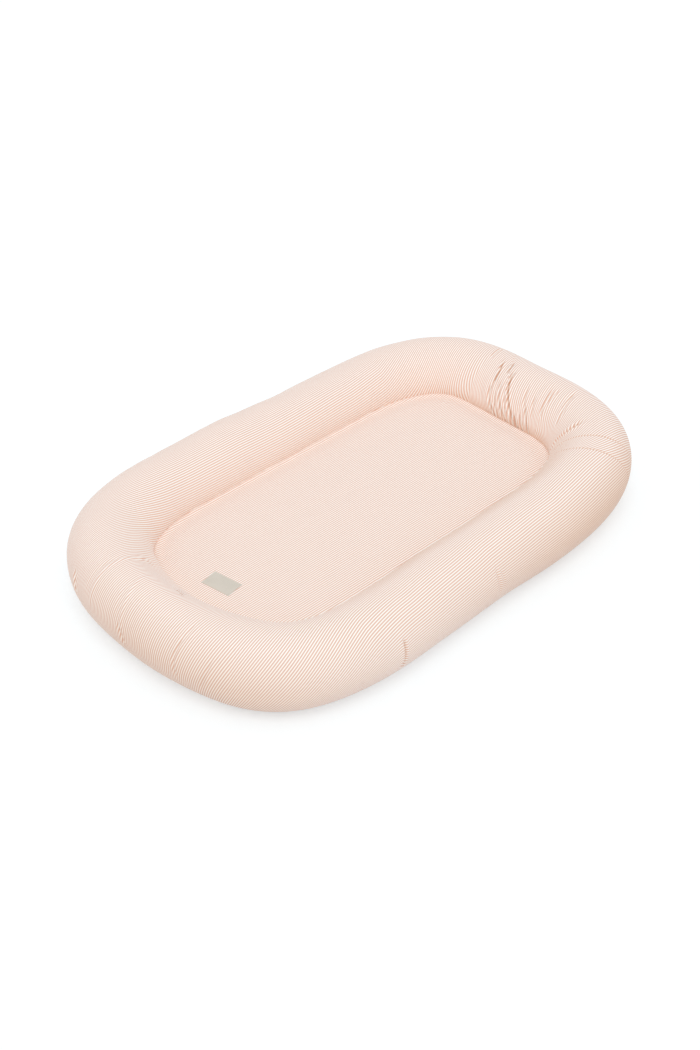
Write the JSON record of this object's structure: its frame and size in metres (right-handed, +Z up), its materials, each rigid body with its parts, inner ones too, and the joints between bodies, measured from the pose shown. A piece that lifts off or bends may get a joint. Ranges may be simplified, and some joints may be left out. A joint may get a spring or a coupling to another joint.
{
  "type": "infant lounger",
  "caption": "Soft padded nest for a baby: a stuffed ring of striped cotton round a flat pad, with a zip in the base.",
  "frame": {"origin": "on the floor, under the middle of the object", "axes": "+Y towards the head end, +Z up, +X the side with the corner seams"},
  "size_m": [0.5772, 0.8958, 0.1154],
  "materials": {
    "striped_cotton": "matt woven cotton, fine pink and off-white stripes",
    "lining_cotton": "matt plain cotton",
    "label_weave": "matt greige woven label, bare",
    "polyester_filling": "loose white fibre",
    "pad_foam": "open-cell foam",
    "zip_tape": "knitted tape with moulded teeth",
    "zip_plastic": "moulded acetal"
  },
  "bodies": {
    "cover": {"bumper_sleeve": "striped_cotton", "head_sleeve": "striped_cotton", "corner_gusset": "striped_cotton", "sleep_panel": "striped_cotton", "base_panel_head": "striped_cotton", "base_panel_foot": "striped_cotton", "label": "label_weave", "roll_case": "lining_cotton", "roll_filling": "polyester_filling", "pad_case": "lining_cotton", "pad_core": "pad_foam", "zip_stringer_head": "zip_tape", "zip_stringer_foot": "zip_tape", "zip_guard": "lining_cotton", "zip_top_stop_head": "zip_plastic", "zip_top_stop_foot": "zip_plastic", "zip_bottom_stop": "zip_plastic"},
    "zip_slider": {"zip_slider": "zip_plastic"},
    "zip_pull": {"zip_pull": "zip_plastic"}
  },
  "joints": [
    {"name": "zip_slide", "type": "slide", "parent": "cover", "child": "zip_slider", "axis": [-1, 0, 0], "range_m": [0, 0.241], "deforming": ["zip_stringer_head", "zip_stringer_foot"]},
    {"name": "zip_pull_swing", "type": "hinge", "parent": "zip_slider", "child": "zip_pull", "pos_m": [0.1253, -0.15, 0.0048], "axis": [0, 1, 0], "range_deg": [-170, 7]}
  ]
}
